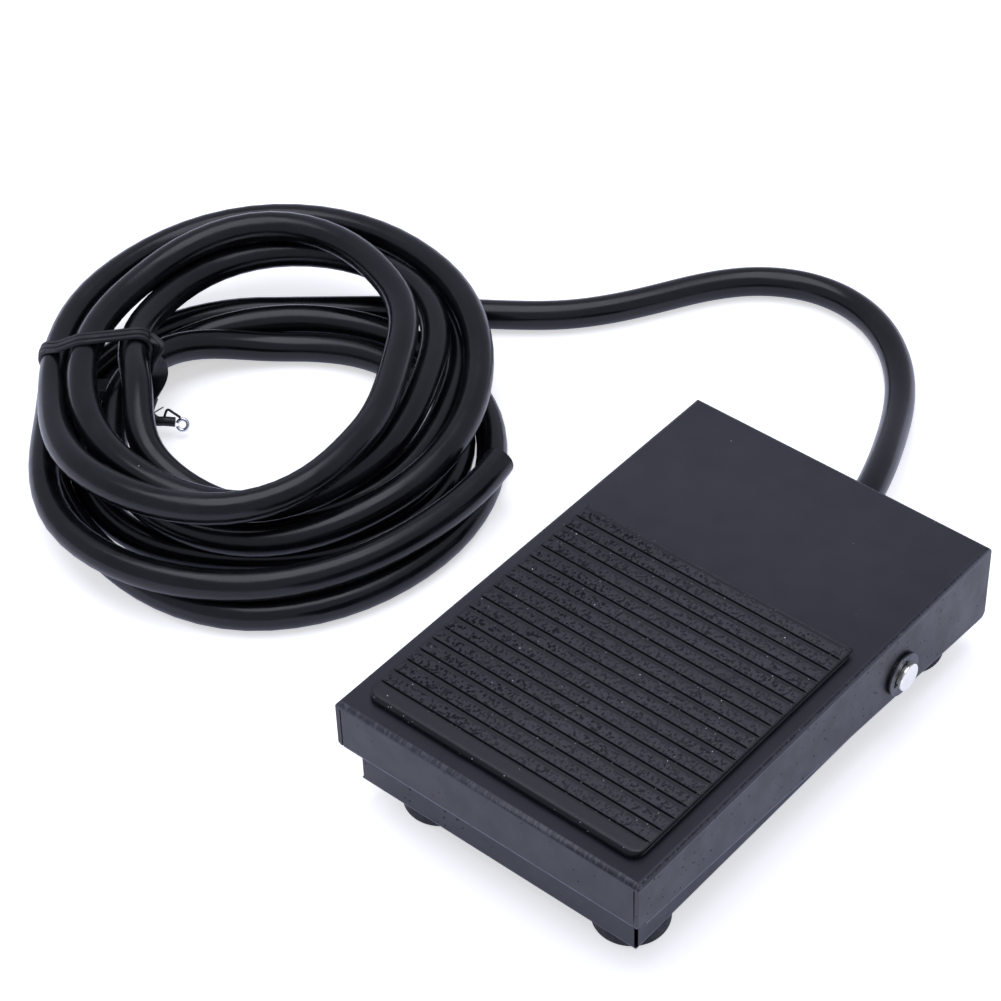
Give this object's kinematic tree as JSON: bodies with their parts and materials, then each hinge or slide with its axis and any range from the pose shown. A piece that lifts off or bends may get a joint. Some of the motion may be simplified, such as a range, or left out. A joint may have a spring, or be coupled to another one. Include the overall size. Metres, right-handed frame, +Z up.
{
  "type": "foot pedal switch",
  "caption": "Low foot pedal: folded steel cover with a ribbed rubber tread that swings on a cross pin over a tray, presses a sprung snap switch, and has a coiled cable.",
  "frame": {"origin": "on the floor, below the middle of the pedal's footprint, cable left out", "axes": "+X right along the pivot pin, +Y to the rear where the cable leaves, +Z up"},
  "size_m": [0.1924, 0.1652, 0.0255],
  "materials": {
    "black_paint": "satin",
    "tread_rubber": "matte",
    "foot_rubber": "matte",
    "bright_pin": "bright",
    "clip_steel": "blackened",
    "zinc_plate": "zinc plated",
    "spring_steel": "drawn wire",
    "terminal_brass": "plated",
    "switch_plastic": "moulded",
    "plunger_plastic": "moulded",
    "clamp_nylon": "moulded",
    "cable_jacket": "glossy",
    "core_insulation": "glossy",
    "tie_plastic": "satin"
  },
  "bodies": {
    "base": {"base_tray": "black_paint", "rubber_feet": "foot_rubber", "foot_screws": "zinc_plate", "foot_nuts": "zinc_plate", "pivot_pin": "bright_pin", "retaining_clips": "clip_steel", "switch_bracket": "zinc_plate", "bracket_rivets": "zinc_plate", "switch_case": "switch_plastic", "switch_terminals": "terminal_brass", "switch_screws": "zinc_plate", "switch_nuts": "zinc_plate", "return_spring": "spring_steel", "spring_post": "zinc_plate", "cable_grommet": "foot_rubber", "cable_clamp": "clamp_nylon", "clamp_screw": "zinc_plate", "cable_tail": "cable_jacket", "core_wires": "core_insulation", "cord_lead": "cable_jacket", "cord_coil": "cable_jacket", "cord_tie": "tie_plastic"},
    "pedal": {"pedal_cover": "black_paint", "tread_pad": "tread_rubber", "striker": "zinc_plate", "spring_cup": "zinc_plate"},
    "plunger": {"switch_plunger": "plunger_plastic"}
  },
  "joints": [
    {"name": "pedal_swing", "type": "hinge", "parent": "base", "child": "pedal", "pos_m": [0, 0.023, 0.0138], "axis": [1, 0, 0], "range_deg": [0, 3.2], "stiffness_Nm_per_rad": 3.6, "springref_deg": -4.87, "deforming": ["return_spring"]},
    {"name": "plunger_slide", "type": "slide", "parent": "base", "child": "plunger", "axis": [0, 0, -1], "range_m": [0, 0.0012]}
  ],
  "couplings": [
    {"joint": "plunger_slide", "follows": "pedal_swing", "m_per_rad": 0.02}
  ]
}
